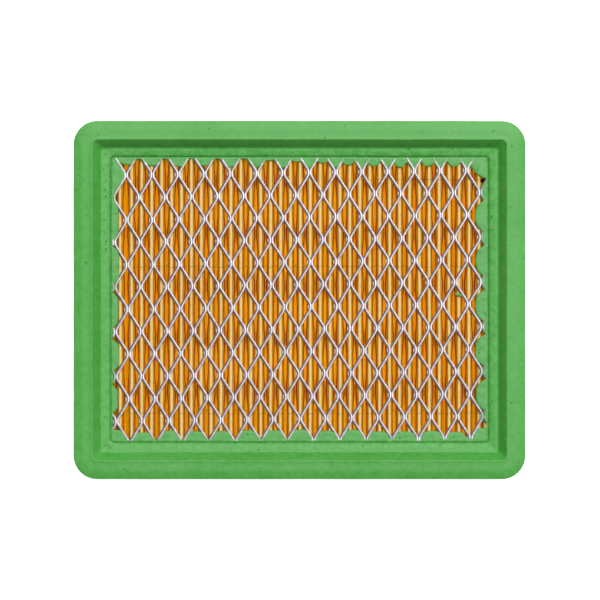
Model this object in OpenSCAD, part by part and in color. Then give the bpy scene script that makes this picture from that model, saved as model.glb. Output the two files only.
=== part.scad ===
// Panel air filter element for a small four-stroke engine.
// A polyurethane frame is moulded round a pack of pleated paper and a screen of expanded steel.
// The element lies on its back face at z = 0 with the screen side up, and the origin is under its middle.

/* [Frame] */
// Length over the flange, along X
frame_l = 133; // [125:0.5:145]
// Width over the flange, along Y
frame_w = 105.5; // [98:0.5:115]
// Height from the back face to the crown of the rim
frame_h = 22; // [21:0.5:26]
// Corner radius of the flange
corner_r = 7; // [6.5:0.5:9]
// Height of the flange's underside, which seats on the airbox
seat_z = 15; // [12:0.5:16]
// How far the flange stands out past the body
overhang = 3.5; // [2:0.25:4]
// Width of the rim, from the flange's edge to the recess
rim_w = 5.7; // [5.2:0.1:6]
// Depth of the recess, from the crown of the rim to the ledge
recess_h = 3.3; // [2.5:0.1:3.4]
// Inset of the window that shows the pleats, from the flange's edge
window_inset = 11; // [10.5:0.1:12]

/* [Paper pack] */
// Distance from one fold to the next fold on the same side
pleat_pitch = 2.95; // [2.8:0.05:3.5]
// Thickness of the paper
paper_t = 0.45; // [0.3:0.05:0.5]
// Radius of the folds at the middle of the paper
fold_r = 0.42; // [0.36:0.01:0.5]
// Length of pleat that the frame holds at each end
potting = 2.6; // [1.5:0.1:4]

/* [Screen] */
// Short way of one diamond, along X
diamond_w = 7.74; // [6.5:0.01:9]
// Long way of one diamond, along Y
diamond_l = 13.2; // [11:0.1:15]
// Width of the strands
strand_w = 0.8; // [0.6:0.05:1]
// Thickness of the screen
screen_t = 0.8; // [0.5:0.1:1]
// How far the screen sits turned in the frame, in degrees
screen_turn = 0.86; // [0:0.02:1.5]
// Width of the screen's edge that the frame holds
screen_hold = 0.8; // [0.4:0.1:1.5]

/* [Hidden] */

window_l = frame_l - 2 * window_inset;
window_w = frame_w - 2 * window_inset;

// Levels above the back face.
ledge_z = frame_h - recess_h;
web_z = ledge_z - 0.5;
screen_z = web_z - screen_t;
fold_top_z = screen_z - 0.05;
fold_bottom_z = 1;

// Details of the frame's section.
draft = 0.6;
back_round = 0.8;
slope_w = 2.35;
step_w = 0.3;
window_corner_r = 1.3;

// Length past a surface that a cut runs, so that it cuts clean through.
past = 1;

// Outside of the frame as [inset from the flange's edge, height], from the back face up.
outside = [
    [overhang + draft + back_round, 0],
    [overhang + draft + back_round * 0.3, back_round * 0.3],
    [overhang + draft, back_round],
    [overhang, seat_z],
    [1, seat_z],
    [0.3, seat_z + 0.3],
    [0, seat_z + 1],
    [0, frame_h - 1.6],
    [0.25, frame_h - 1],
    [0.8, frame_h - 0.55],
    [2.6, frame_h - 0.12],
    [3.2, frame_h],
];

// Side of the recess as [inset from the flange's edge, height], from the ledge up.
recess_side = [
    [rim_w + slope_w, ledge_z],
    [rim_w, frame_h - 0.4],
    [rim_w - 0.2, frame_h - 0.1],
    [rim_w - 0.55, frame_h],
    [rim_w - 0.55, frame_h + past],
];

function reversed(list) = [for (k = [len(list) - 1:-1:0]) list[k]];

// Outline across a body that is span wide, with the same side on its left and its right.
function across(span, side) = concat(
    [for (p = side) [span / 2 - p[0], p[1]]],
    [for (p = reversed(side)) [p[0] - span / 2, p[1]]]
);

// A bar along X, with an outline given across Y and up Z.
module bar(length, shape) {
    translate([-length / 2, 0, 0])
        rotate([90, 0, 90])
            linear_extrude(length) polygon(shape);
}

// The outside of the frame, filled in: two crossed bars, and a turned post at each corner.
module filled_frame() {
    bar(frame_l - 2 * corner_r, across(frame_w, outside));
    rotate(90) bar(frame_w - 2 * corner_r, across(frame_l, outside));
    post = concat([[0, 0]], [for (p = outside) [corner_r - p[0], p[1]]], [[0, frame_h]]);
    for (sx = [-1, 1], sy = [-1, 1])
        translate([sx * (frame_l / 2 - corner_r), sy * (frame_w / 2 - corner_r), 0])
            rotate_extrude($fn = 48) polygon(post);
}

// The recess inside the rim. Its sloping sides meet in mitres.
module recess() {
    intersection() {
        bar(frame_l, across(frame_w, recess_side));
        rotate(90) bar(frame_w, across(frame_l, recess_side));
    }
}

module rounded(l, w, r) {
    square([l - 2 * r, w], center = true);
    square([l, w - 2 * r], center = true);
    for (sx = [-1, 1], sy = [-1, 1])
        translate([sx * (l / 2 - r), sy * (w / 2 - r)]) circle(r, $fn = 32);
}

// Outline of the window, made larger by grow on every side.
module window(grow = 0) {
    rounded(window_l + 2 * grow, window_w + 2 * grow, window_corner_r + grow);
}

// Pleats. The sheet is a chain of folds, back and front in turn, joined by straight flanks.
// Fold 0 and the last fold are at the back, inside the frame's end walls.
front_folds = floor(window_l / pleat_pitch) + 1;
last_fold = 2 * front_folds;
fold_outer_r = fold_r + paper_t / 2;
fold_rise = fold_top_z - fold_bottom_z - 2 * fold_outer_r;
flank_lean = atan(pleat_pitch / 2 / fold_rise) - asin(2 * fold_r / norm([pleat_pitch / 2, fold_rise]));
fold_facets = 4;

// Points of fold k on one face of the sheet. side is 1 for the front face and -1 for the back face.
function fold(k, side) =
    let (
        front = k % 2 == 1,
        x = (k - front_folds) * pleat_pitch / 2,
        z = front ? fold_top_z - fold_outer_r : fold_bottom_z + fold_outer_r,
        r = (front ? fold_r : -fold_r) + side * paper_t / 2,
        start = front ? 180 - flank_lean : flank_lean,
        turn = front ? 2 * flank_lean - 180 : 180 - 2 * flank_lean
    )
    [for (s = [0:fold_facets])
        let (a = start + turn * s / fold_facets)
        [x + r * cos(a), z + r * sin(a)]];

// The folded sheet as one closed outline across the pleats.
sheet = concat(
    [for (k = [0:last_fold]) each fold(k, 1)],
    reversed([for (k = [0:last_fold]) each fold(k, -1)])
);

module paper_pack() {
    pack_w = window_w + 2 * potting;
    translate([0, pack_w / 2, 0])
        rotate([90, 0, 0])
            linear_extrude(pack_w) polygon(sheet);
}

// Screen. The joint between strands that is nearest the middle lies at joint_x, joint_y before the turn.
joint_x = 0.435 * diamond_w;
joint_y = -0.156 * diamond_l;
joint_half_l = 0.9;

// Corner radius of the screen, which leaves no loose ends at its corners.
screen_corner_r = 4.5;

// Half numbers of columns and rows of diamonds that cover the window.
columns = ceil(window_l / diamond_w) + 2;
rows = ceil(window_w / diamond_l) + 2;

// Place of point (i, j) of the screen's net, counted in half diamonds. Diamonds lie where i + j is odd.
function net(i, j) =
    let (u = joint_x + i * diamond_w / 2, v = joint_y + j * diamond_l / 2)
    [u * cos(screen_turn) - v * sin(screen_turn), u * sin(screen_turn) + v * cos(screen_turn)];

// The hole of one diamond. Its side corners are cut off where two strands join.
module hole() {
    slant = norm([diamond_w, diamond_l]);
    tip_x = (diamond_w - strand_w * slant / diamond_l) / 2;
    tip_y = (diamond_l - strand_w * slant / diamond_w) / 2;
    side_y = min(joint_half_l, tip_y / 2);
    side_x = tip_x * (1 - side_y / tip_y);
    polygon([
        [-side_x, -side_y],
        [0, -tip_y],
        [side_x, -side_y],
        [side_x, side_y],
        [0, tip_y],
        [-side_x, side_y],
    ]);
}

// The screen is larger than the window, and the frame is cast round its edges.
module screen_sheet() {
    translate([0, 0, screen_z])
        linear_extrude(screen_t)
            difference() {
                rounded(window_l + 2 * screen_hold, window_w + 2 * screen_hold, screen_corner_r);
                for (i = [-columns:columns], j = [-rows:rows])
                    if ((i + j) % 2 != 0)
                        translate(net(i, j)) rotate(screen_turn) hole();
            }
}

module moulded_frame() {
    color("mediumseagreen")
        difference() {
            filled_frame();
            recess();
            translate([0, 0, web_z]) linear_extrude(recess_h) window(step_w);
            translate([0, 0, -past]) linear_extrude(frame_h) window();
            paper_pack();
            screen_sheet();
        }
}

module pleated_paper() {
    color("sandybrown") paper_pack();
}

module expanded_screen() {
    color("silver") screen_sheet();
}

moulded_frame();
pleated_paper();
expanded_screen();
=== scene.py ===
"""Looks for a panel air filter element: green moulded frame, pleated paper, expanded steel screen."""

import math

import bpy
import numpy as np
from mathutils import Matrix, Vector


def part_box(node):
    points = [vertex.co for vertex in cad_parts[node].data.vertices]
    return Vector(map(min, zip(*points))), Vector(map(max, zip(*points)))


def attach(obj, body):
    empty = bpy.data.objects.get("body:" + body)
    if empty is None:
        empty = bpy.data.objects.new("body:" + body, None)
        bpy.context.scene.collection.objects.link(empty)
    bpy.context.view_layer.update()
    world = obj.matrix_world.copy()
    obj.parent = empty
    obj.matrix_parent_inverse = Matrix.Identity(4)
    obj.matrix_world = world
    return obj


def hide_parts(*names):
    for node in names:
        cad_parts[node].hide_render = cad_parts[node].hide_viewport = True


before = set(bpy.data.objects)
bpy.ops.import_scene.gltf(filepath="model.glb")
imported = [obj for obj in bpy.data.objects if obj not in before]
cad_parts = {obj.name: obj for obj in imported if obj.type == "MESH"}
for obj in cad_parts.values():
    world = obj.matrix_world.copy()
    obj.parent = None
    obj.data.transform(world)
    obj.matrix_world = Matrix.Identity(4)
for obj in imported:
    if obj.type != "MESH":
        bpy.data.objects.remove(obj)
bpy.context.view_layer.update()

MM = 0.001
rng = np.random.default_rng(7)

# The frame's outline and the screen's levels, in mm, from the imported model.
HALF_L, HALF_W, TOP_Z = np.array(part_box("moulded_frame")[1]) / MM
screen_low, screen_high = (np.array(corner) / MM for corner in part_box("expanded_screen"))
WEB_Z = screen_high[2]

# Sizes of the frame's section, in mm. An inset is measured inwards from the flange's edge.
LEDGE_Z = WEB_Z + 0.5
SEAT_Z = 15.0
BODY_INSET = 3.5
DRAFT = 0.6
WINDOW_INSET = 11.0
WINDOW_CORNER_R = 1.2
CORNER_R = 7.0

# Half the length and width of the window.
WINDOW_X = HALF_L - WINDOW_INSET
WINDOW_Y = HALF_W - WINDOW_INSET

# Weights that smooth a row of values with its two neighbours to either side.
SMOOTHING = np.array([1, 2, 3, 2, 1]) / 9

# The screen's net, in mm: half a diamond along X and Y, one joint's place, and the turn of the sheet.
HALF_DIAMOND_W = 3.868
HALF_DIAMOND_L = 6.602
JOINT = (3.37, -2.06)
TURN = math.radians(0.86)


def turned(u, v):
    """A place on the screen's own net, in mm, as the frame's X and Y."""
    return u * math.cos(TURN) - v * math.sin(TURN), u * math.sin(TURN) + v * math.cos(TURN)


def net(i, j):
    """Net point (i, j), counted in half diamonds. Joints lie where i + j is even."""
    return turned(JOINT[0] + i * HALF_DIAMOND_W, JOINT[1] + j * HALF_DIAMOND_L)


def smoothstep(low, high, value):
    """0 at low and 1 at high, with an even rise between them."""
    t = np.clip((value - low) / (high - low), 0, 1)
    return t * t * (3 - 2 * t)


def make_object(name, points, faces, attributes=None):
    """A smooth mesh object from points in mm and faces, with float attributes on its points."""
    mesh = bpy.data.meshes.new(name)
    points = np.asarray(points, dtype=float).reshape(-1, 3)
    faces = np.asarray(faces, dtype=np.int32)
    mesh.vertices.add(len(points))
    mesh.vertices.foreach_set("co", (points * MM).ravel())
    corners = faces.shape[1]
    mesh.loops.add(faces.size)
    mesh.loops.foreach_set("vertex_index", faces.ravel())
    mesh.polygons.add(len(faces))
    mesh.polygons.foreach_set("loop_start", np.arange(0, faces.size, corners, dtype=np.int32))
    mesh.polygons.foreach_set("use_smooth", np.full(len(faces), True))
    mesh.update(calc_edges=True)
    for label, values in (attributes or {}).items():
        mesh.attributes.new(label, "FLOAT", "POINT").data.foreach_set("value", np.ravel(values))
    mesh.validate()
    piece = bpy.data.objects.new(name, mesh)
    bpy.context.scene.collection.objects.link(piece)
    return piece


def grid_faces(rows, cols, wrap_rows=False, wrap_cols=False, start=0):
    """Quads over a grid of points that is stored row by row."""
    r = np.arange(rows if wrap_rows else rows - 1)
    c = np.arange(cols if wrap_cols else cols - 1)
    r, c = (a.ravel() for a in np.meshgrid(r, c, indexing="ij"))
    below = (r + 1) % rows
    right = (c + 1) % cols
    return start + np.stack([r * cols + c, r * cols + right, below * cols + right, below * cols + c], axis=1)


def waves(points, size, seed, layers=6):
    """Smooth seeded unevenness between about -1 and 1, with bumps about size mm across."""
    draw = np.random.default_rng(seed)
    total = np.zeros(points.shape[:-1])
    for _ in range(layers):
        direction = draw.normal(size=3)
        direction /= np.linalg.norm(direction)
        length = size * draw.uniform(1.3, 2.6)
        total += np.sin(points @ direction * 2 * math.pi / length + draw.uniform(0, 2 * math.pi))
    return total / math.sqrt(layers) * 0.8


# ---------------------------------------------------------------- moulded frame

# Columns round the frame: straight stretches, then a fan of columns through each corner.
FAN = 12.0
COLUMN_STEP = 0.3
FAN_STEPS = 40
ARC_STEPS = 12

# How much further up the sheet the window's top edge and the recess's inner edge lie than the model's.
TOP_EXTRA = 0.3

# The film reaches in from the window's edge by at most FILM_REACH, and by at least FILM_LEAST.
# Past a strand's middle it runs on by STRAND_MARGIN of a diamond.
FILM_REACH = 9.0
FILM_LEAST = 0.3
FILM_STEPS = 180
STRAND_MARGIN = 0.05

# The film's section from the web inwards, round its edge and back, as [share of its reach, drop in mm].
FILM = [
    (0.12, -0.12), (0.3, -0.15), (0.5, -0.16), (0.7, -0.16), (0.86, -0.18), (0.94, -0.23),
    (0.985, -0.34), (1.0, -0.5), (0.985, -0.66), (0.9, -0.8), (0.6, -0.86), (0.2, -0.88),
]

# Levels of the wall below the film, down to the back.
WALL_LEVELS = (WEB_Z - 1.2, 16.0, 13.0, 10.0, 7.0, 4.0, 2.0)

# A burst bubble in the ledge: its place, how far it sinks, and the radii of its floor and of its brim.
DIMPLE = (-56.8, -43.5)
DIMPLE_DROP = 0.6
DIMPLE_RADII = (0.5, 1.05)


def ring(inset, radius):
    """Points of the frame's outline at an inset, in mm, all with the same number of columns."""
    lift = TOP_EXTRA * smoothstep(8.2, 10.6, inset)
    x0 = WINDOW_X - FAN
    y0 = WINDOW_Y - FAN
    hx = HALF_L - inset
    hy = HALF_W - inset
    points = []

    def side(start, end, steps):
        """A straight stretch, without its end."""
        t = np.arange(steps)[:, None] / steps
        points.append(np.array(start) * (1 - t) + np.array(end) * t)

    def corner(sx, sy, from_x):
        """A corner's fan and arc, from the side that faces X if from_x, or else from the one that faces Y."""
        cx, cy = hx - radius, hy - radius
        a = np.arange(ARC_STEPS) / ARC_STEPS * math.pi / 2
        arc = np.stack([cx + radius * np.cos(a), cy + radius * np.sin(a)], axis=1)
        if from_x:
            side((sx * hx, sy * y0), (sx * hx, sy * cy), FAN_STEPS)
            points.append(arc * (sx, sy))
            side((sx * cx, sy * hy), (sx * x0, sy * hy), FAN_STEPS)
        else:
            side((sx * x0, sy * hy), (sx * cx, sy * hy), FAN_STEPS)
            back = np.stack([cx + radius * np.sin(a), cy + radius * np.cos(a)], axis=1)
            points.append(back * (sx, sy))
            side((sx * hx, sy * cy), (sx * hx, sy * y0), FAN_STEPS)

    steps_x = round(2 * x0 / COLUMN_STEP)
    steps_y = round(2 * y0 / COLUMN_STEP)
    corner(1, 1, True)
    side((x0, hy), (-x0, hy), steps_x)
    corner(-1, 1, False)
    side((-hx, y0), (-hx, -y0), steps_y)
    corner(-1, -1, True)
    side((-x0, -hy), (x0, -hy), steps_x)
    corner(1, -1, False)
    side((hx, -y0), (hx, y0), steps_y)
    outline = np.concatenate(points)
    outline[:, 1] += lift * smoothstep(0, HALF_W / 2, outline[:, 1])
    return outline


def lobes():
    """Tongues of the film, each inside one diamond of the screen.

    Each is (diamond's x, y, the tongue's x, y, half width, half height, squareness), in mm. Its outline is
    an ellipse at a squareness of 2, and nears a box as that grows.
    """
    foot_y = -WINDOW_Y
    head_y = WINDOW_Y + TOP_EXTRA
    shapes = []
    for i in range(-16, 17):
        # Along the top the film fills each notch, and the tongues between them grow to the right.
        x, y = net(i, 7 if i % 2 == 0 else 6)
        along = (x + WINDOW_X) / (2 * WINDOW_X)
        if i % 2 == 0:
            depth = 2.4 + 1.3 * along + rng.uniform(-0.3, 0.3)
            shapes.append((x, y, x + rng.uniform(-0.2, 0.2), head_y, 2.9, depth, 3.6))
        else:
            depth = 0.35 + 2.5 * smoothstep(0.28, 0.8, along) + rng.uniform(-0.2, 0.2)
            shapes.append((x, y, x + rng.uniform(-0.3, 0.3), head_y, 1.0 + 1.2 * along, depth, 2.3))
            # Along the foot it stands up in the middle of each notch, most of all at the middle.
            x, y = net(i, -6)
            depth = 2.8 + (1 - abs(x) / WINDOW_X) ** 3 + rng.uniform(-0.35, 0.3)
            shapes.append((x, y, x + rng.uniform(-0.3, 0.3), foot_y, 3.5, depth, 2.9))
    # At the left edge it is a narrow strip, and at the right edge it bulges into each half diamond.
    for j in range(-4, 6, 2):
        x, y = net(-15, j)
        shapes.append((x, y, -WINDOW_X, y - 0.2, 2.0 + rng.uniform(-0.2, 0.2), 4.9 + 0.04 * y, 4.0))
        x, y = net(13, j)
        shapes.append((x, y, WINDOW_X, y - 0.4, 3.7 + rng.uniform(-0.25, 0.2), 4.6, 2.2))
    # Between the stubs at the right edge it is full.
    for j in range(-5, 7, 2):
        x, y = net(14, j)
        shapes.append((x, y, WINDOW_X, y, 1.7, 3.3, 5.0))
    # The corners of the window: top left, top right, bottom left and bottom right.
    shapes.append((*net(-15, 6), -WINDOW_X, head_y, 6.0, 20.0, 8.0))
    shapes.append((*net(13, 6), WINDOW_X, head_y, 5.8, 6.2, 1.7))
    shapes.append((*net(-15, -6), -WINDOW_X, foot_y, 4.6, 3.4, 3.0))
    shapes.append((*net(13, -6), WINDOW_X, foot_y, 5.6, 4.0, 2.6))
    return shapes


def film_depths(outer, inner):
    """How far in the film reaches at each column, as a fraction of the way from outer to inner."""
    t = np.linspace(0, 1, FILM_STEPS)
    at = outer[:, None, :] * (1 - t[None, :, None]) + inner[:, None, :] * t[None, :, None]
    inside = np.zeros(at.shape[:2], dtype=bool)
    for diamond_x, diamond_y, x, y, w, h, p in lobes():
        du = at[..., 0] - diamond_x
        dv = at[..., 1] - diamond_y
        u = du * math.cos(TURN) + dv * math.sin(TURN)
        v = dv * math.cos(TURN) - du * math.sin(TURN)
        in_diamond = np.abs(u) / HALF_DIAMOND_W + np.abs(v) / HALF_DIAMOND_L < 1 + STRAND_MARGIN
        in_tongue = np.abs((at[..., 0] - x) / w) ** p + np.abs((at[..., 1] - y) / h) ** p < 1
        inside |= in_diamond & in_tongue
    inside[:, 0] = True
    leaves = np.argmin(inside, axis=1)
    depth = t[np.where(inside.all(axis=1), len(t) - 1, leaves)]
    depth = np.maximum(depth, FILM_LEAST / FILM_REACH)
    return sum(weight * np.roll(depth, shift) for shift, weight in zip(range(-2, 3), SMOOTHING))


def arc_points(cx, cz, radius, start, end, steps):
    """Profile points on an arc, as [inset, z]. Angles are in degrees, from outward to up."""
    a = np.radians(np.linspace(start, end, steps + 1))
    return [(cx - radius * math.cos(v), cz + radius * math.sin(v)) for v in a]


def frame_profile():
    """The frame's section from the window's lower edge round the outside to the web, as [inset, z]."""
    section = [(WINDOW_INSET, 0.9), (WINDOW_INSET - 0.12, 0.35), (WINDOW_INSET - 0.5, 0.05)]
    section += [(WINDOW_INSET - 1.0, 0), (9.0, 0), (7.6, 0), (6.2, 0), (5.3, 0)]
    # The body's wall leans out by the draft, from the rounded back to the fillet under the flange.
    foot = BODY_INSET + DRAFT
    section += arc_points(foot + 0.8, 0.8, 0.8, -85, 0, 5)
    section += [(foot - DRAFT * k / 8, 0.8 + (SEAT_Z - 1.4) * k / 8) for k in range(1, 8)]
    section += arc_points(BODY_INSET - 0.45, SEAT_Z - 0.45, -0.45, 0, -85, 3)
    # The flange.
    section += [(2.2, SEAT_Z), (1.4, SEAT_Z)]
    section += arc_points(0.9, SEAT_Z + 0.9, 0.9, -80, 0, 5)
    section += [(0, 16.8), (0, 17.9), (0, 19.0), (0, 20.0)]
    section += arc_points(0.6, TOP_Z - 1.14, 0.6, 0, 78, 5)
    # The rim: an outer part that leans out, a flat part, and a slight bead before the recess.
    section += [(0.95, TOP_Z - 0.46), (1.5, TOP_Z - 0.35), (2.0, TOP_Z - 0.25), (2.35, TOP_Z - 0.19)]
    section += [(2.8, TOP_Z - 0.155), (3.3, TOP_Z - 0.15), (3.9, TOP_Z - 0.14), (4.4, TOP_Z - 0.13)]
    section += [(4.75, TOP_Z - 0.105), (5.05, TOP_Z - 0.065), (5.3, TOP_Z - 0.025), (5.45, TOP_Z - 0.01)]
    section += [(5.6, TOP_Z - 0.06), (5.72, TOP_Z - 0.17)]
    # The slope grows steeper downwards, then eases on to the ledge.
    slope_top = TOP_Z - 0.3
    slope_foot = LEDGE_Z + 0.6
    for t in np.arange(7) / 6:
        fall = 0.8 * t + 0.2 * t * t
        section.append((5.82 + 1.76 * t, slope_top - (slope_top - slope_foot) * fall))
    section += [(7.7, LEDGE_Z + 0.42), (7.86, LEDGE_Z + 0.28)]
    section += [(8.05, LEDGE_Z + 0.18), (8.25, LEDGE_Z + 0.125)]
    # The ledge leans in a little and rolls over at the step down to the web, which has a groove at its foot.
    section += [(8.45, LEDGE_Z + 0.085), (8.68, LEDGE_Z + 0.05), (8.95, LEDGE_Z + 0.01)]
    section += [(9.25, LEDGE_Z - 0.04), (9.55, LEDGE_Z - 0.09), (9.85, LEDGE_Z - 0.15)]
    section += [(10.1, LEDGE_Z - 0.21), (10.35, LEDGE_Z - 0.29)]
    section += [(10.5, LEDGE_Z - 0.38), (10.6, LEDGE_Z - 0.52), (10.67, WEB_Z - 0.34), (10.84, WEB_Z - 0.36)]
    section += [(10.96, WEB_Z - 0.16)]
    return section


# The outline's corner radii above the flange's underside, at these insets.
CORNER_INSETS = [0, 2.6, 5.0, 6.0, 8.2, 10.4, 11]
CORNER_RADII = [CORNER_R, 4.6, 2.0, 1.3, 0.9, 1.3, WINDOW_CORNER_R]


def corner_radius(inset, z):
    """The outline's corner radius at an inset: round outside, and nearly sharp where the recess is mitred."""
    if z < SEAT_Z + 0.1 and inset > 2:
        return max(CORNER_R - inset * 0.75, 2.0)
    return float(np.interp(inset, CORNER_INSETS, CORNER_RADII))


def moulded_frame():
    """The frame as rings of points: the section's, then the film's, then those of the window's wall."""
    rings = []
    marks = []  # how pitted each ring is, and whether it lies in the groove and on the film

    def add_ring(outline, z, pitted, groove=0.0, web=0.0):
        rings.append(np.column_stack([outline, np.broadcast_to(z, len(outline))]))
        marks.append((pitted, groove, web))

    for inset, z in frame_profile():
        above = smoothstep(8.0, 8.8, inset) if z > SEAT_Z else 0.0
        in_groove = z > SEAT_Z and 10.64 < inset < 10.9
        add_ring(ring(inset, corner_radius(inset, z)), z, 0.25 + 0.75 * above, groove=float(in_groove))
    # The film runs in from the web's edge to its own edge, turns under and comes back to the wall.
    edge = ring(WINDOW_INSET, WINDOW_CORNER_R)
    inner = ring(WINDOW_INSET + FILM_REACH, 0.3)
    depth = film_depths(edge, inner)
    loose = smoothstep(0.3, 1.2, depth * FILM_REACH)
    for fraction, drop in FILM:
        outline = edge + (inner - edge) * (depth * fraction)[:, None]
        level = np.column_stack([outline, np.zeros(len(outline))])
        add_ring(outline, WEB_Z + drop + 0.05 * loose * waves(level, 2.5, 3), 1.0, web=1.0)
    for z in WALL_LEVELS:
        add_ring(edge, z, 0.5)
    points = np.array(rings)
    rows, cols = points.shape[:2]
    # A cast foam skin is never quite flat. The lowest and outermost points stay where the model says.
    flat = points.reshape(-1, 3)
    uneven = 0.035 * waves(flat, 9, 11) + 0.018 * waves(flat, 3, 12)
    on_top = smoothstep(SEAT_Z + 3, SEAT_Z + 5, flat[:, 2])
    flat[:, 2] += (uneven - 0.06) * on_top
    inward = 1 - np.abs(0.045 * waves(flat, 14, 13))[:, None] / (HALF_L, HALF_W)
    flat[:, :2] *= inward
    away = np.hypot(flat[:, 0] - DIMPLE[0], flat[:, 1] - DIMPLE[1])
    flat[:, 2] -= DIMPLE_DROP * (1 - smoothstep(*DIMPLE_RADII, away)) * on_top
    faces = grid_faces(rows, cols, wrap_rows=True, wrap_cols=True)
    pitted, groove, web = np.repeat(np.array(marks), cols, axis=0).T
    return make_object("moulded_frame_skin", flat, faces, {"pitted": pitted, "groove": groove, "web": web})


# ---------------------------------------------------------------- pleated paper

# The pleats' pitch, the front folds (tips) inside the two end ones, and the end ones' places.
PITCH = 2.93
FIRST_FULL_TIP = -49.6
FULL_TIPS = 36
END_TIPS = (-53.0, 54.9)

# Where the sheet starts and ends, at the back by the frame's walls.
SHEET_ENDS = (-56.2, 56.4)

# The sheet's thickness, its highest and lowest levels, and the radii of its folds at the front and back.
PAPER_T = 0.34
TIP_Z = screen_low[2] - 0.02
BACK_Z = 1.1
TIP_R = 0.37
FLOOR_R = 0.72
FOLD_ANGLES = np.radians([-78, -52, -26, 0, 26, 52, 78])

# Places down a flank, as shares of the way from front fold to back fold.
FLANK_STEPS = np.array([0.02, 0.06, 0.11, 0.17, 0.25, 0.36, 0.5, 0.66, 0.82, 0.94])

# Length of pleat that the frame holds at each end.
POTTING = 2.0

# Embossed rows press the flanks together: fully within EMBOSSED of a row's middle, and least of all
# EMBOSSED_FADE further out, where the flanks stand open by OPEN_SHARE of the gap.
EMBOSSED_ROWS = 4.25 + 15.5 * np.arange(-2, 3)
EMBOSSED = 1.1
EMBOSSED_FADE = 4.3
OPEN_SHARE = 0.48

# The longest step along the pleats, and the steps round an embossed row.
ROW_STEP = 1.3
ROW_OFFSETS = (-5.4, -4.3, -3.4, -2.7, -2.1, -1.6, -1.15, 0.0, 1.15, 1.6, 2.1, 2.7, 3.4, 4.3, 5.4)

# A spot of painted shade in the last pleat: its place and its half width and height.
SHADE_SPOT = (54.4, 35.2)
SHADE_SPOT_SIZE = (1.3, 0.8)

# Creases across the pleats, as (place along them, where the crease starts across them). Each is
# CREASE_HALF to either side of its middle, and the back folds have it CREASE_SHIFT further up the sheet.
CREASES = ((9.7, -60), (-33.6, -60), (35.6, 18))
CREASE_HALF = 0.2
CREASE_SHIFT = 0.55


def paper_rows():
    """Places along the pleats, closer together where the embossed rows pinch them."""
    half = WINDOW_Y + POTTING
    marks = sorted(row + offset for row in EMBOSSED_ROWS for offset in ROW_OFFSETS)
    places = [-half]
    for mark in marks + [half]:
        gap = mark - places[-1]
        count = max(1, math.ceil(gap / ROW_STEP))
        places += [places[-1] + gap * (k + 1) / count for k in range(count)]
    return np.array(places)


def pinch(y, row_shift):
    """How far the flanks are pressed together along a pleat: 1 where they meet, less where they are open."""
    away = np.min(np.abs(y[:, None] - (EMBOSSED_ROWS[None, :] + row_shift)), axis=1)
    return 1 - OPEN_SHARE * np.clip((away - EMBOSSED) / EMBOSSED_FADE, 0, 1) ** 0.8


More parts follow.
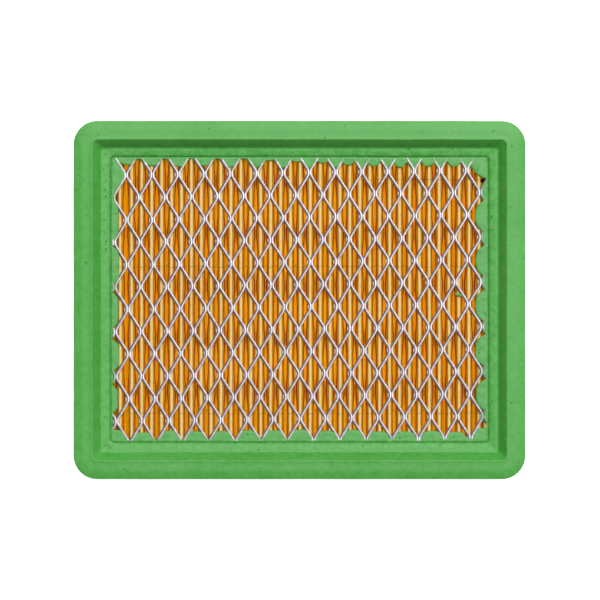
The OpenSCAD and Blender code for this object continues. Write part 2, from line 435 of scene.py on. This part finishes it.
def pleated_paper():
    """The sheet, swept along Y. A tip is a fold at the front, and a floor is a fold at the back."""
    y = paper_rows()
    tips = [END_TIPS[0]] + [FIRST_FULL_TIP + PITCH * k for k in range(FULL_TIPS)] + [END_TIPS[1]]
    floors = [SHEET_ENDS[0]] + [(a + b) / 2 for a, b in zip(tips, tips[1:])] + [SHEET_ENDS[1]]
    rows = []  # (x, z, how far the flank moves towards the floor's middle when pinched)
    tip_centre_z = TIP_Z - TIP_R - PAPER_T / 2
    floor_centre_z = BACK_Z + FLOOR_R + PAPER_T / 2

    def flank(x_from, x_to, towards, down):
        """A flank, from left to right. Its floor lies on the side that towards points to."""
        for s in FLANK_STEPS if down else FLANK_STEPS[::-1]:
            z = tip_centre_z + (floor_centre_z - tip_centre_z) * s
            swell = smoothstep(0.015, 0.12, s) * (1 - smoothstep(0.45, 0.85, s))
            x = x_from + (x_to - x_from) * (s if down else 1 - s)
            rows.append((x, z, towards * swell))

    def floor_fold(middle, angles):
        for a in angles:
            rows.append((middle + FLOOR_R * math.sin(a), floor_centre_z - FLOOR_R * math.cos(a), 0.0))

    for k, tip in enumerate(tips):
        left, right = floors[k], floors[k + 1]
        if k == 0:
            floor_fold(left, FOLD_ANGLES[3:])
        flank(left + FLOOR_R, tip - TIP_R, -1.0, False)
        for a in FOLD_ANGLES:
            rows.append((tip + TIP_R * math.sin(a), tip_centre_z + TIP_R * math.cos(a), 0.0))
        flank(tip + TIP_R, right - FLOOR_R, 1.0, True)
        floor_fold(right, FOLD_ANGLES if k < len(tips) - 1 else FOLD_ANGLES[:4])
    rows = np.array(rows)
    count = len(rows)
    # Middle surface of the sheet, then its two faces at half the thickness to either side.
    gap = PITCH / 2 - TIP_R - PAPER_T / 2 - 0.04
    shift = rng.normal(0, 0.12, size=len(tips) + 1)
    valley = np.searchsorted(np.array(tips), rows[:, 0])
    middle = np.zeros((count, len(y), 3))
    for n, (x, z, swell) in enumerate(rows):
        press = pinch(y, shift[valley[n]])
        middle[n, :, 0] = x + swell * press * gap
        middle[n, :, 1] = y
        middle[n, :, 2] = z
    flat = middle.reshape(-1, 3)
    middle[..., 0] += (0.05 * waves(flat * (1, 0.35, 0.5), 6, 21)).reshape(count, -1)
    tip_sag = (0.05 * waves(flat, 18, 22) - 0.05).reshape(count, -1)
    height = (middle[..., 2] - BACK_Z) / (TIP_Z - BACK_Z)
    middle[..., 2] += tip_sag * smoothstep(0.6, 0.95, height)
    along_rows = np.gradient(middle, axis=0)
    along_y = np.gradient(middle, axis=1)
    normal = np.cross(along_rows, along_y)
    normal /= np.linalg.norm(normal, axis=2, keepdims=True)
    front = middle + normal * PAPER_T / 2
    back = middle - normal * PAPER_T / 2
    height = (middle[..., 2] - BACK_Z) / (TIP_Z - BACK_Z)
    sheets = np.concatenate([front.reshape(-1, 3), back.reshape(-1, 3)])
    depth = np.concatenate([1 - height.ravel(), height.ravel()])
    # The two faces of the sheet, and the strip that joins them all round its edge.
    cols = len(y)
    half = count * cols
    top = grid_faces(count, cols)
    bottom = grid_faces(count, cols, start=half)[:, ::-1]
    rim = np.concatenate([
        np.arange(cols),
        np.arange(1, count) * cols + cols - 1,
        (count - 1) * cols + np.arange(cols - 2, -1, -1),
        np.arange(count - 2, 0, -1) * cols,
    ])
    following = np.roll(rim, -1)
    edge = np.stack([following, rim, rim + half, following + half], axis=1)
    faces = np.concatenate([top, bottom, edge])
    return make_object("pleated_paper_pack", sheets, faces, {"depth": depth})


# ---------------------------------------------------------------- expanded screen

# A strand's section as (across, up), in mm. The sheared strip leans: a bright crown on the right and a
# long flank that falls away on the left, with room for a lip along its lower edge.
STRAND = np.array([
    (0.41, 0.15), (0.38, 0.22), (0.28, 0.26), (0.12, 0.275), (-0.02, 0.26), (-0.1, 0.2), (-0.2, 0.08),
    (-0.29, -0.04), (-0.37, -0.14), (-0.44, -0.22), (-0.42, -0.3), (-0.25, -0.33), (0.1, -0.3), (0.3, -0.22),
])
# How the flank folds into a groove and a lip where two strands are joined.
LIP = np.array([
    (0, 0), (0, 0), (0, 0), (0, 0), (0, 0), (0, -0.02), (0.02, -0.06),
    (0.02, -0.1), (-0.06, 0.0), (-0.2, 0.12), (-0.2, 0.08), (-0.08, 0), (0, 0), (0, 0),
])
# How much wider and higher than STRAND the strands are.
WIDEN = (1.14, 1.0)
# Points of the section on the flank that faces away from the light, painted darker as shade, and those that
# the lip turns to the light, where that painted shade is lifted as a painted highlight.
FLANK_SHADE = np.array([0, 0, 0, 0, 0.1, 0.6, 1, 1, 1, 1, 1, 1, 1, 0.6])
LIP_BRIGHT = np.array([0, 0, 0, 0, 0, 0, 0, 0, 1, 1, 0.5, 0, 0, 0])
# Half the length of a joint, how far its two strands' middles lie from its own, and the step along a strand.
JOINT_HALF = 0.7
JOINT_GAP = 0.31
SAMPLE = 0.25
# How far short of the window's edge the strands end, at the sides and at the top and foot.
END_GAPS = (0.12, 0.08)
# How far in from the window's right edge foam coats the strands: to the start of it, and to its full depth.
COATED = (2.4, 1.2)


def coating(path):
    """How far foam has run over a strand: a lot at the right edge, and a little at the other edges."""
    uneven = waves(path, 8, 51)
    right = smoothstep(WINDOW_X - COATED[0], WINDOW_X - COATED[1], path[:, 0] + 0.5 * uneven)
    to_edge = np.minimum(path[:, 0] + WINDOW_X, WINDOW_Y - np.abs(path[:, 1]))
    return np.maximum(right, 0.8 * smoothstep(0.9, 0.2, to_edge + 0.9 * uneven))


def expanded_screen():
    """The screen as strands that run up the sheet, each joined to its two neighbours in turn."""
    far_x = WINDOW_X - END_GAPS[0]
    low_y = -WINDOW_Y + END_GAPS[1]
    high_y = WINDOW_Y + TOP_EXTRA - END_GAPS[1]
    crown_z = screen_high[2] - STRAND[:, 1].max()
    # share swings from 0 to 1 and back as a strand leaves one column of joints for the next.
    v = np.arange(-8 * HALF_DIAMOND_L, 8 * HALF_DIAMOND_L, SAMPLE)
    phase = (v / HALF_DIAMOND_L) % 2
    ramp = np.where(phase < 1, phase, 2 - phase)
    level = JOINT_HALF / HALF_DIAMOND_L
    swing = np.clip((ramp - level) / (1 - 2 * level), 0, 1)
    swing = np.convolve(np.pad(swing, 2, mode="edge"), SMOOTHING, mode="valid")
    points, faces, flank_shade, joint, coated = [], [], [], [], []
    start = 0
    cols = len(STRAND)
    # Strand n lies between net columns n and n + 1. At share 0 it is the right half of a joint in column n.
    for n in range(-17, 16):
        share = swing if n % 2 == 0 else 1 - swing
        side = 1 - 2 * share
        u = JOINT[0] + (n + share) * HALF_DIAMOND_W + JOINT_GAP * side
        path = np.stack([u, JOINT[1] + v, crown_z + 0.05 * side - 0.05], axis=1)
        path[:, 0] += 0.06 * waves(path, 7, 31 + n % 7)
        path[:, 2] += 0.02 * waves(path, 15, 40) - 0.02
        path[:, 0], path[:, 1] = turned(path[:, 0], path[:, 1])
        x, y = path[:, 0], path[:, 1]
        inside = (np.abs(x) < far_x) & (y > low_y) & (y < high_y)
        breaks = np.flatnonzero(np.diff(inside.astype(int))) + 1
        for part in np.split(np.arange(len(v)), breaks):
            if not inside[part[0]] or len(part) < 4:
                continue
            run = path[part]
            tangent = np.gradient(run, axis=0)
            tangent /= np.linalg.norm(tangent, axis=1, keepdims=True)
            wide = np.stack([tangent[:, 1], -tangent[:, 0], np.zeros(len(run))], axis=1)
            wide /= np.linalg.norm(wide, axis=1, keepdims=True)
            lip = smoothstep(0.93, 1.0, share[part])
            section = WIDEN * STRAND[None, :, :] + LIP[None, :, :] * lip[:, None, None]
            tube = run[:, None, :] + wide[:, None, :] * section[:, :, 0, None]
            tube[:, :, 2] += section[:, :, 1]
            points.append(tube.reshape(-1, 3))
            # Painted shade on the flank, lifted where the lip turns to the light.
            flank_shade.append((FLANK_SHADE * (1 - 0.75 * lip[:, None] * LIP_BRIGHT)).ravel())
            # Where the joints' painted highlight goes.
            at_joint = np.maximum(lip, smoothstep(0.07, 0.0, share[part]))
            joint.append(np.repeat(at_joint, cols))
            coated.append(np.repeat(coating(run), cols))
            faces.append(grid_faces(len(run), cols, wrap_cols=True, start=start)[:, ::-1])
            # Caps at the strand's two ends.
            for row, order in ((0, 1), (len(run) - 1, -1)):
                loop = start + row * cols + np.arange(cols)
                caps = [(loop[k], loop[k + 1], loop[-k - 2], loop[-k - 1]) for k in range(cols // 2 - 1)]
                faces.append(np.array(caps)[:, ::order])
            start += tube.shape[0] * cols
    return make_object("expanded_screen_strands", np.concatenate(points), np.concatenate(faces), {
        "flank_shade": np.concatenate(flank_shade), "joint": np.concatenate(joint), "coated": np.concatenate(coated)})


# The scrap of foam on one strand: its place, half its length and width, and its turn.
FLECK = (46.9, 1.6)
FLECK_SIZE = (1.15, 0.42)
FLECK_LEAN = math.radians(-24)


def flash_fleck():
    """A scrap of foam that was left on one strand: a thin cap with an uneven edge."""
    turns = 20
    rings = [(1.0, -0.1), (0.97, 0.0), (0.85, 0.07), (0.6, 0.12), (0.3, 0.15)]  # (size, rise in mm)
    angle = np.arange(turns) / turns * 2 * math.pi
    edge = 1 + 0.16 * np.sin(2 * angle + 0.6) + 0.1 * np.sin(3 * angle + 2.0)
    points = []
    for size, rise in rings:
        along = FLECK_SIZE[0] * size * edge * np.cos(angle)
        across = FLECK_SIZE[1] * size * edge * np.sin(angle)
        x = FLECK[0] + along * math.cos(FLECK_LEAN) - across * math.sin(FLECK_LEAN)
        y = FLECK[1] + along * math.sin(FLECK_LEAN) + across * math.cos(FLECK_LEAN)
        points.append(np.column_stack([x, y, np.full(turns, WEB_Z + rise)]))
    points = np.concatenate(points)
    rows = len(rings)
    low = np.append(points[:turns].mean(axis=0)[:2], WEB_Z - 0.1)
    high = np.append(points[-turns:].mean(axis=0)[:2], WEB_Z + 0.155)
    points = np.concatenate([points, [low, high]])
    faces = [tuple(f) for f in grid_faces(rows, turns, wrap_cols=True)]
    last = (rows - 1) * turns
    for k in range(turns):
        following = (k + 1) % turns
        faces.append((last + k, last + following, len(points) - 1))
        faces.append((following, k, len(points) - 2))
    mesh = bpy.data.meshes.new("flash_fleck")
    mesh.from_pydata([tuple(p * MM) for p in points], [], faces)
    mesh.attributes.new("pitted", "FLOAT", "POINT").data.foreach_set("value", np.ones(len(points)))
    mesh.shade_smooth()
    piece = bpy.data.objects.new("flash_fleck", mesh)
    bpy.context.scene.collection.objects.link(piece)
    return piece


# ---------------------------------------------------------------- materials


class Nodes:
    """A material's node tree, with short ways to add and join nodes."""

    def __init__(self, name):
        self.material = bpy.data.materials.new(name)
        self.material.use_nodes = True
        self.tree = self.material.node_tree
        self.tree.nodes.clear()
        self.output = self.tree.nodes.new("ShaderNodeOutputMaterial")
        self.coords = self.tree.nodes.new("ShaderNodeTexCoord").outputs["Object"]

    def add(self, kind, inputs=None, **settings):
        node = self.tree.nodes.new(kind)
        for key, value in settings.items():
            setattr(node, key, value)
        for key, value in (inputs or {}).items():
            if isinstance(value, bpy.types.NodeSocket):
                self.tree.links.new(value, node.inputs[key])
            else:
                node.inputs[key].default_value = value
        return node

    def noise(self, size_mm, detail=3.0, rough=0.55, stretch=None):
        vector = self.coords
        if stretch:
            vector = self.add("ShaderNodeMapping", {"Vector": vector, "Scale": stretch}).outputs[0]
        inputs = {"Vector": vector, "Scale": 1 / (size_mm * MM), "Detail": detail, "Roughness": rough}
        return self.add("ShaderNodeTexNoise", inputs).outputs["Fac"]

    def ramp(self, value, stops):
        node = self.add("ShaderNodeValToRGB", {"Fac": value})
        elements = node.color_ramp.elements
        while len(elements) < len(stops):
            elements.new(0.5)
        for element, (place, colour) in zip(elements, stops):
            element.position = place
            element.color = (*colour, 1)
        return node.outputs["Color"]

    def math(self, operation, a, b=0.0, c=0.0, clamp=False):
        node = self.add("ShaderNodeMath", operation=operation, use_clamp=clamp)
        for socket, value in zip(node.inputs, (a, b, c)):
            if isinstance(value, bpy.types.NodeSocket):
                self.tree.links.new(value, socket)
            else:
                socket.default_value = value
        return node.outputs[0]

    def mix(self, factor, a, b, blend="MIX"):
        node = self.add("ShaderNodeMix", data_type="RGBA", blend_type=blend)
        for socket, value in ((node.inputs[0], factor), (node.inputs[6], a), (node.inputs[7], b)):
            if isinstance(value, bpy.types.NodeSocket):
                self.tree.links.new(value, socket)
            elif isinstance(value, (tuple, list)):
                socket.default_value = (*value, 1)
            else:
                socket.default_value = value
        return node.outputs[2]

    def bump(self, height, distance_mm):
        inputs = {"Height": height, "Distance": distance_mm * MM, "Strength": 1.0}
        return self.add("ShaderNodeBump", inputs).outputs[0]

    def attribute(self, name):
        return self.add("ShaderNodeAttribute", attribute_name=name).outputs["Fac"]

    def finish(self, shader):
        self.tree.links.new(shader, self.output.inputs["Surface"])
        return self.material


def srgb(r, g, b):
    """A colour given as 0 to 255 screen values, as linear light."""
    return tuple(((c / 255 + 0.055) / 1.055) ** 2.4 if c > 10 else c / 255 / 12.92 for c in (r, g, b))


def grey(level):
    return level, level, level


# Burst bubbles in the foam: the size of the cells that hold one at most, in mm, a bubble's radius as a
# share of a cell, how rare they are from 0 to 1, and how deep against the foam's mottling.
BUBBLE_CELL = 1.9
BUBBLE_RADIUS = 0.17
BUBBLE_RARITY = 0.87
BUBBLE_DEPTH = 1.6


def foam_material():
    """Self-skinned foam: mottled green, with painted shade in the groove and the burst bubbles. The more
    pitted a place is, the more burst bubbles it has.
    """
    n = Nodes("green_foam_skin")
    broad = n.noise(14, 2)
    mottle = n.noise(1.6, 4, 0.6)
    grain = n.noise(0.28, 2, 0.6)
    pitted = n.attribute("pitted")
    base = n.ramp(broad, [(0.3, srgb(74, 171, 63)), (0.7, srgb(88, 180, 77))])
    blotch = n.ramp(mottle, [(0.35, srgb(64, 162, 51)), (0.65, srgb(100, 188, 91))])
    colour = n.mix(n.math("MULTIPLY_ADD", pitted, 0.45, 0.3), base, blotch)
    # The bubbles are crowded in some places and rare in others.
    cells = n.add("ShaderNodeTexVoronoi", {
        "Vector": n.coords, "Scale": 1 / (BUBBLE_CELL * MM), "Randomness": 1.0})
    pick = n.add("ShaderNodeSeparateColor", {"Color": cells.outputs["Color"]}).outputs[0]
    crowd = n.math("MULTIPLY_ADD", n.noise(6, 2), 1.0, -0.5)
    chance = n.math("ADD", n.math("MULTIPLY", pitted, 0.3), crowd)
    chosen = n.math("GREATER_THAN", n.math("ADD", pick, chance), BUBBLE_RARITY)
    from_middle = n.math("DIVIDE", cells.outputs["Distance"], BUBBLE_RADIUS, clamp=True)
    pit = n.math("MULTIPLY", n.math("SUBTRACT", 1.0, from_middle, clamp=True), chosen)
    colour = n.mix(n.math("MULTIPLY", n.attribute("web"), 0.15), colour, srgb(122, 176, 124))
    # Painted shade: the groove at the foot of the step down to the web is darkened in colour.
    colour = n.mix(n.math("MULTIPLY", n.attribute("groove"), 0.5), colour, srgb(30, 96, 24))
    # Painted shade: the burst bubbles are darkened in colour, as well as sunk in the bump.
    colour = n.mix(n.math("MULTIPLY", pit, n.math("MULTIPLY", pitted, 0.6)), colour, srgb(40, 104, 38))
    speck = n.ramp(grain, [(0.36, grey(0.72)), (0.56, grey(1.0))])
    colour = n.mix(0.35, colour, speck, "MULTIPLY")
    height = n.math("ADD", n.math("MULTIPLY", grain, 0.35), n.math("MULTIPLY", mottle, pitted))
    height = n.math("SUBTRACT", height, n.math("MULTIPLY", pit, BUBBLE_DEPTH))
    normal = n.bump(height, 0.16)
    rough = n.ramp(mottle, [(0.3, grey(0.46)), (0.7, grey(0.58))])
    shader = n.add("ShaderNodeBsdfPrincipled", {
        "Base Color": colour, "Roughness": rough, "Normal": normal, "Specular IOR Level": 0.55})
    return n.finish(shader.outputs[0])


def paper_material():
    """Paper coloured by depth with painted light and shade: a painted highlight at the front folds, painted
    shade beside them, golden further down, and a painted glow.
    """
    n = Nodes("resin_treated_paper")
    depth = n.attribute("depth")
    fibre = n.noise(0.5, 4, 0.65, stretch=(1, 0.3, 0.3))
    blotch = n.noise(3.0, 3)
    wander = n.math("MULTIPLY", n.math("SUBTRACT", fibre, 0.5), 0.02)
    place = n.math("ADD", depth, wander)
    # Painted light and shade by depth: a painted highlight on the front folds, a painted shadow line beside
    # them, a band of painted shade between the pinched flanks, and paler gold further down standing in for
    # light that comes through the sheet.
    colour = n.ramp(place, [
        (0.0, srgb(255, 226, 150)), (0.02, srgb(250, 216, 134)), (0.03, srgb(168, 116, 30)),
        (0.045, srgb(208, 150, 28)), (0.09, srgb(222, 166, 32)), (0.101, srgb(146, 56, 8)),
        (0.118, srgb(146, 56, 8)), (0.14, srgb(240, 190, 36)), (0.4, srgb(248, 222, 60)),
        (0.8, srgb(246, 230, 80)), (1.0, srgb(248, 240, 112))])
    # Light that has soaked through the sheet from both sides, given as the sheet's own.
    soaked = n.ramp(place, [
        (0.02, grey(0.0)), (0.05, (0.09, 0.045, 0.0)), (0.09, (0.13, 0.065, 0.0)),
        (0.101, (0.07, 0.006, 0.0)), (0.118, (0.07, 0.006, 0.0)), (0.14, (0.15, 0.08, 0.0)),
        (0.5, (0.2, 0.13, 0.0)), (0.85, (0.28, 0.22, 0.0)), (1.0, (0.28, 0.24, 0.0))])
    colour = n.mix(0.2, colour, n.ramp(blotch, [(0.3, (0.75, 0.7, 0.6)), (0.7, grey(1.0))]), "MULTIPLY")
    across, along = n.add("ShaderNodeSeparateXYZ", {"Vector": n.coords}).outputs[:2]
    ripple = n.math("MULTIPLY", n.math("SUBTRACT", n.noise(6, 2), 0.5), 0.9 * MM)
    ripple = n.math("MULTIPLY_ADD", depth, -CREASE_SHIFT * MM, ripple)
    crease = None
    for y_mm, from_x in CREASES:
        away = n.math("ABSOLUTE", n.math("SUBTRACT", n.math("ADD", along, ripple), y_mm * MM))
        line = n.math("SUBTRACT", 1.0, n.math("DIVIDE", away, CREASE_HALF * MM, clamp=True), clamp=True)
        line = n.math("MULTIPLY", line, n.math("GREATER_THAN", across, from_x * MM))
        crease = line if crease is None else n.math("MAXIMUM", crease, line)
    crease = n.math("MULTIPLY", crease, n.math("MULTIPLY", n.noise(1.2, 2), 1.1), clamp=True)
    # Painted shade along the creases, which are sunk in the bump as well.
    colour = n.mix(crease, colour, srgb(120, 66, 6))
    # The painted shade at that spot darkens the folds' outer faces, not the flanks between them.
    from_x = n.math("DIVIDE", n.math("SUBTRACT", across, SHADE_SPOT[0] * MM), SHADE_SPOT_SIZE[0] * MM)
    from_y = n.math("DIVIDE", n.math("SUBTRACT", along, SHADE_SPOT[1] * MM), SHADE_SPOT_SIZE[1] * MM)
    away = n.math("ADD", n.math("MULTIPLY", from_x, from_x), n.math("MULTIPLY", from_y, from_y))
    away = n.math("ADD", away, n.math("GREATER_THAN", depth, 0.4))
    away = n.math("ADD", away, n.math("MULTIPLY", fibre, 0.4))
    outside_shade_spot = n.ramp(away, [(0.7, grey(0.0)), (1.0, grey(1.0))])
    colour = n.mix(outside_shade_spot, srgb(40, 14, 8), colour)
    soaked = n.mix(outside_shade_spot, grey(0.0), soaked)
    normal = n.bump(n.math("SUBTRACT", fibre, crease), 0.05)
    sheet = n.add("ShaderNodeBsdfPrincipled", {
        "Base Color": colour, "Roughness": 0.7, "Normal": normal, "Specular IOR Level": 0.25,
        "Emission Color": soaked, "Emission Strength": 1.0})
    glow = n.add("ShaderNodeBsdfTranslucent", {"Color": colour})
    share = n.ramp(depth, [(0.0, grey(0.08)), (0.15, grey(0.25)), (1.0, grey(0.75))])
    shader = n.add("ShaderNodeMixShader", {0: share, 1: sheet.outputs[0], 2: glow.outputs[0]})
    return n.finish(shader.outputs[0])


def steel_material():
    """Galvanised steel: a painted highlight at the joints, painted shade on the flank that faces away from
    the light, and green where foam coats it.
    """
    n = Nodes("galvanised_steel")
    spangle = n.noise(1.2, 3, 0.6)
    streak = n.noise(0.35, 3, 0.6, stretch=(1, 0.25, 1))
    colour = n.ramp(spangle, [(0.35, srgb(188, 178, 186)), (0.65, srgb(212, 203, 210))])
    # Painted highlight: the joints are brighter in colour.
    colour = n.mix(n.math("MULTIPLY", n.attribute("joint"), 0.8), colour, srgb(236, 230, 238))
    # Painted shade on the flank that faces away from the light.
    colour = n.mix(n.attribute("flank_shade"), colour, srgb(160, 144, 153))
    patchy = n.ramp(spangle, [(0.3, grey(0.6)), (0.6, grey(1.0))])
    coat = n.math("MULTIPLY", n.attribute("coated"), patchy)
    colour = n.mix(coat, colour, srgb(96, 160, 92))
    rough = n.ramp(streak, [(0.3, grey(0.42)), (0.7, grey(0.58))])
    metallic = n.math("MULTIPLY_ADD", coat, -0.55, 0.55)
    normal = n.bump(streak, 0.05)
    shader = n.add("ShaderNodeBsdfPrincipled", {
        "Base Color": colour, "Metallic": metallic, "Roughness": rough, "Normal": normal})
    return n.finish(shader.outputs[0])


# The light that the floor gives, what it gives besides under the window, and half that part's size in mm.
FLOOR_GLOW = 0.9
WINDOW_GLOW = 1.0
LIT_FLOOR = (55, 41)


def floor_material():
    """A white floor that gives light, and gives more of it under the window, to make the paper glow."""
    n = Nodes("pale_floor")
    tone = n.ramp(n.noise(40, 2), [(0.3, grey(0.9)), (0.7, grey(0.94))])
    place = n.add("ShaderNodeSeparateXYZ", {"Vector": n.coords}).outputs
    under_x = n.math("LESS_THAN", n.math("ABSOLUTE", place[0]), LIT_FLOOR[0] * MM)
    under_y = n.math("LESS_THAN", n.math("ABSOLUTE", place[1]), LIT_FLOOR[1] * MM)
    glow = n.math("MULTIPLY_ADD", n.math("MULTIPLY", under_x, under_y), WINDOW_GLOW, FLOOR_GLOW)
    shader = n.add("ShaderNodeBsdfPrincipled", {
        "Base Color": tone, "Roughness": 0.9, "Emission Color": (1, 1, 1, 1), "Emission Strength": glow})
    return n.finish(shader.outputs[0])


# ---------------------------------------------------------------- build

body = moulded_frame()
paper = pleated_paper()
screen = expanded_screen()

for piece, node, slot, material in (
    (body, "moulded_frame", "frame", foam_material()),
    (paper, "pleated_paper", "paper", paper_material()),
    (screen, "expanded_screen", "screen", steel_material()),
):
    piece.data.materials.append(material)
    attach(piece, "root")
    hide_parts(node)

fleck = flash_fleck()
fleck.data.materials.append(body.data.materials[0])
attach(fleck, "root")

# The floor that the element lies on, a hair below its back face so that the two never share a plane.
FLOOR_HALF = 3000
FLOOR_Z = -0.05
signs = ((-1, -1), (1, -1), (1, 1), (-1, 1))
corners = [(sx * FLOOR_HALF, sy * FLOOR_HALF, FLOOR_Z) for sx, sy in signs]
floor = make_object("floor", corners, [(0, 1, 2, 3)])
floor.data.materials.append(floor_material())


# ---------------------------------------------------------------- light and camera


def area_light(name, direction, distance, size, power):
    """A square softbox that looks at the element from a direction, in metres and watts."""
    data = bpy.data.lights.new(name, "AREA")
    data.shape = "SQUARE"
    data.size = size
    data.energy = power
    lamp = bpy.data.objects.new(name, data)
    place = Vector(direction).normalized() * distance
    lamp.location = place
    lamp.rotation_euler = place.to_track_quat("Z", "Y").to_euler()
    bpy.context.scene.collection.objects.link(lamp)


area_light("key_softbox", (0.16, 0.32, 1.0), 2.5, 1.3, 52.0)
area_light("side_softbox", (0.5, 0.9, 1.0), 2.5, 1.2, 11.0)

world = bpy.data.worlds.new("studio")
world.use_nodes = True
world.node_tree.nodes["Background"].inputs["Color"].default_value = (1, 1, 1, 1)
world.node_tree.nodes["Background"].inputs["Strength"].default_value = 0.1
bpy.context.scene.world = world
bpy.context.scene.view_settings.view_transform = "Standard"
bpy.context.scene.cycles.diffuse_bounces = 8

# The camera looks straight down. VIEW_SHARE is how much of the picture's width the frame's length takes
# at a level FOCUS_DROP below its top, which is CAMERA_DISTANCE from the camera.
CAMERA_DISTANCE = 0.9
FOCUS_DROP = 1.6
SENSOR = 36.0
VIEW_SHARE = 0.7531
CAMERA_X = 0.13
camera_data = bpy.data.cameras.new("camera")
camera_data.sensor_width = SENSOR
camera_data.lens = SENSOR * CAMERA_DISTANCE * VIEW_SHARE / (2 * HALF_L * MM)
camera = bpy.data.objects.new("camera", camera_data)
camera.location = (CAMERA_X * MM, 0.0, (TOP_Z - FOCUS_DROP) * MM + CAMERA_DISTANCE)
bpy.context.scene.collection.objects.link(camera)
bpy.context.scene.camera = camera
